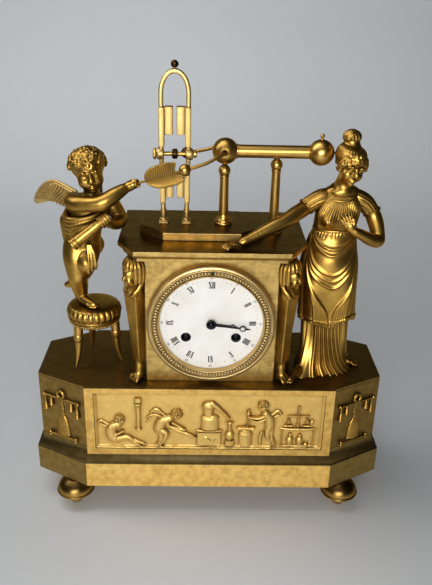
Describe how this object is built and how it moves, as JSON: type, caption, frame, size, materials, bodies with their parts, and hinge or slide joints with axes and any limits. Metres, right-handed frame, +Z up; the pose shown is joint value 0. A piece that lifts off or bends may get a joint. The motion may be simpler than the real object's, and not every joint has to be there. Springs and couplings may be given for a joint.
{
  "type": "mantel clock",
  "caption": "Gilt bronze mantel clock: round enamel dial in a square case on a long footed base, with a winged child on a stool, a standing woman and an electrical machine above.",
  "frame": {"origin": "on the floor under the middle of the base", "axes": "+Z up, front of the clock towards -Y, +X to the viewer's right"},
  "size_m": [0.35, 0.137, 0.4355],
  "materials": {
    "gilt_bronze": "fire-gilt bronze, satin and burnished",
    "movement_brass": "plain turned brass",
    "dark_steel": "blackened steel",
    "white_enamel": "glossy white enamel on copper"
  },
  "bodies": {
    "clock": {"cupid_body": "gilt_bronze", "woman_body": "gilt_bronze", "dial_bezel": "gilt_bronze", "conductor": "gilt_bronze", "movement_front_plate": "movement_brass", "machine_arch": "gilt_bronze", "collector_fork": "gilt_bronze", "movement_back_plate": "movement_brass", "cupid_left_arm": "gilt_bronze", "stool_frame": "gilt_bronze", "dial": "white_enamel", "herm_left": "gilt_bronze", "herm_right": "gilt_bronze", "cupid_right_arm": "gilt_bronze", "rear_ring": "gilt_bronze", "trophy_left": "gilt_bronze", "trophy_right": "gilt_bronze", "bell": "movement_brass", "foot_front_left": "gilt_bronze", "foot_front_right": "gilt_bronze", "foot_rear_left": "gilt_bronze", "foot_rear_right": "gilt_bronze", "column_left": "gilt_bronze", "column_right": "gilt_bronze", "stool_cushion": "gilt_bronze", "case_walls": "gilt_bronze", "woman_right_arm": "gilt_bronze", "woman_left_arm": "gilt_bronze", "base_plinth": "gilt_bronze", "case_front": "gilt_bronze", "pad_strip_left": "gilt_bronze", "pad_strip_right": "gilt_bronze", "base_box": "gilt_bronze", "arrow": "gilt_bronze", "case_cornice": "gilt_bronze", "base_top_plate": "gilt_bronze", "machine_platform": "gilt_bronze", "cupid_right_wing": "gilt_bronze", "cupid_left_wing": "gilt_bronze", "frieze_panel": "gilt_bronze", "strap_left": "movement_brass", "strap_right": "movement_brass"},
    "minute_train": {"centre_wheel": "movement_brass", "minute_hand": "dark_steel"},
    "hour_train": {"hour_wheel": "movement_brass", "hour_hand": "dark_steel"},
    "minute_wheel": {"minute_wheel": "movement_brass"},
    "second_wheel": {"second_wheel": "movement_brass"},
    "going_barrel": {"going_barrel": "movement_brass"},
    "third_wheel": {"third_wheel": "movement_brass"},
    "escape_wheel": {"escape_wheel": "movement_brass"},
    "going_winding": {"going_winding_arbor": "dark_steel"},
    "strike_winding": {"strike_winding_arbor": "dark_steel"},
    "strike_barrel": {"strike_barrel": "movement_brass"},
    "count_wheel": {"count_wheel": "movement_brass"},
    "anchor": {"anchor": "dark_steel"},
    "pendulum": {"pendulum": "movement_brass"},
    "hammer": {"bell_hammer": "dark_steel"},
    "rear_door": {"rear_door": "gilt_bronze"},
    "machine_axle": {"machine_axle": "gilt_bronze"}
  },
  "joints": [
    {"name": "minute_hand_turn", "type": "hinge", "parent": "clock", "child": "minute_train", "pos_m": [0, -0.02, 0.2064], "axis": [0, 1, 0], "continuous": true},
    {"name": "hour_hand_turn", "type": "hinge", "parent": "clock", "child": "hour_train", "pos_m": [0, -0.02, 0.2064], "axis": [0, 1, 0], "continuous": true},
    {"name": "minute_wheel_turn", "type": "hinge", "parent": "clock", "child": "minute_wheel", "pos_m": [0, -0.02, 0.1944], "axis": [0, 1, 0], "continuous": true},
    {"name": "second_wheel_turn", "type": "hinge", "parent": "clock", "child": "second_wheel", "pos_m": [0.00344, -0.02, 0.18751], "axis": [0, 1, 0], "continuous": true},
    {"name": "going_barrel_turn", "type": "hinge", "parent": "clock", "child": "going_barrel", "pos_m": [0.0235, -0.02, 0.1912], "axis": [0, 1, 0], "continuous": true},
    {"name": "third_wheel_turn", "type": "hinge", "parent": "clock", "child": "third_wheel", "pos_m": [-0.00864, -0.02, 0.22137], "axis": [0, 1, 0], "continuous": true},
    {"name": "escape_wheel_turn", "type": "hinge", "parent": "clock", "child": "escape_wheel", "pos_m": [0, -0.02, 0.23464], "axis": [0, 1, 0], "continuous": true},
    {"name": "going_winding_turn", "type": "hinge", "parent": "clock", "child": "going_winding", "pos_m": [0.0235, -0.02, 0.1912], "axis": [0, 1, 0], "continuous": true},
    {"name": "strike_winding_turn", "type": "hinge", "parent": "clock", "child": "strike_winding", "pos_m": [-0.0235, -0.02, 0.1912], "axis": [0, 1, 0], "continuous": true},
    {"name": "strike_barrel_turn", "type": "hinge", "parent": "clock", "child": "strike_barrel", "pos_m": [-0.0235, -0.02, 0.1912], "axis": [0, 1, 0], "continuous": true},
    {"name": "count_wheel_turn", "type": "hinge", "parent": "clock", "child": "count_wheel", "pos_m": [-0.02697, -0.02, 0.21129], "axis": [0, 1, 0], "continuous": true},
    {"name": "pendulum_swing", "type": "hinge", "parent": "clock", "child": "pendulum", "pos_m": [0, -0.02, 0.25024], "axis": [0, 1, 0], "range_deg": [-4, 4]},
    {"name": "anchor_rock", "type": "hinge", "parent": "clock", "child": "anchor", "pos_m": [0, -0.02, 0.24724], "axis": [0, 1, 0], "range_deg": [-4.2, 4.2]},
    {"name": "hammer_swing", "type": "hinge", "parent": "clock", "child": "hammer", "pos_m": [-0.03, -0.02, 0.1814], "axis": [0, 1, 0], "range_deg": [-25, 0]},
    {"name": "rear_door_swing", "type": "hinge", "parent": "clock", "child": "rear_door", "pos_m": [-0.055, 0.0535, 0.2064], "axis": [0, 0, 1], "range_deg": [0, 110]},
    {"name": "machine_axle_turn", "type": "hinge", "parent": "clock", "child": "machine_axle", "pos_m": [-0.035, -0.003, 0.3545], "axis": [1, 0, 0], "continuous": true}
  ],
  "couplings": [
    {"joint": "hour_hand_turn", "follows": "minute_hand_turn", "ratio": 0.083333},
    {"joint": "minute_wheel_turn", "follows": "minute_hand_turn", "ratio": -0.33333},
    {"joint": "second_wheel_turn", "follows": "minute_hand_turn", "ratio": -0.2},
    {"joint": "going_barrel_turn", "follows": "minute_hand_turn", "ratio": 0.04},
    {"joint": "third_wheel_turn", "follows": "minute_hand_turn", "ratio": -5},
    {"joint": "escape_wheel_turn", "follows": "minute_hand_turn", "ratio": 25},
    {"joint": "count_wheel_turn", "follows": "strike_barrel_turn", "ratio": -5},
    {"joint": "anchor_rock", "follows": "pendulum_swing", "ratio": 1}
  ]
}
